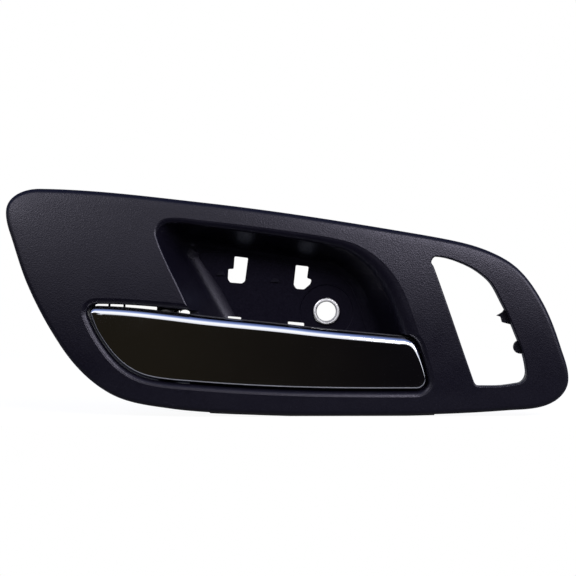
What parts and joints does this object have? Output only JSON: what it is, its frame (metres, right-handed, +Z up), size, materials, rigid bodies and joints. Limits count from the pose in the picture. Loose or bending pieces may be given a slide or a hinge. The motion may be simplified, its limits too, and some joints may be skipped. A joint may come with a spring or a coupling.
{
  "type": "car interior door handle",
  "caption": "Inner car door handle: black moulded bezel with pull cup and switch window, and a bright lever on an upright pin that pulls the latch cable.",
  "frame": {"origin": "on the axis of the bolt sleeve, level with the floor of the pull cup", "axes": "+X along the door towards the switch window, +Z up, -Y out of the face towards the cabin"},
  "size_m": [0.326, 0.0494, 0.1317],
  "materials": {
    "bezel_plastic": "fine-grained black moulding with a low sheen",
    "bright_plate": "polished bright plate on plastic",
    "carrier_plastic": "glass-filled black moulding",
    "plated_steel": "zinc-plated turned steel",
    "spring_steel": "oiled spring steel",
    "screw_zinc": "yellow zinc plate",
    "bumper_rubber": "matt",
    "bush_plastic": "natural acetal"
  },
  "bodies": {
    "frame": {"bezel": "bezel_plastic", "bolt_sleeve": "plated_steel", "pivot_bracket": "carrier_plastic", "bracket_screw_1": "screw_zinc", "bracket_screw_2": "screw_zinc", "bracket_screw_3": "screw_zinc", "bracket_screw_4": "screw_zinc", "pivot_pin": "plated_steel", "pin_clip": "spring_steel", "return_spring": "spring_steel", "rest_bumper": "bumper_rubber", "panel_clip_1": "spring_steel", "panel_clip_2": "spring_steel", "panel_clip_3": "spring_steel", "panel_clip_4": "spring_steel", "panel_clip_5": "spring_steel", "panel_clip_6": "spring_steel"},
    "lever": {"lever_shell": "bright_plate", "lever_core": "carrier_plastic", "upper_bush": "bush_plastic", "lower_bush": "bush_plastic", "shell_screw_1": "screw_zinc", "shell_screw_2": "screw_zinc", "shell_screw_3": "screw_zinc"}
  },
  "joints": [
    {"name": "lever_pivot", "type": "hinge", "parent": "frame", "child": "lever", "pos_m": [-0.0925, -0.022, -0.01815], "axis": [0, 0, -1], "range_deg": [0, 28], "stiffness_Nm_per_rad": 0.25, "springref_deg": -28.65, "deforming": ["return_spring"]}
  ]
}
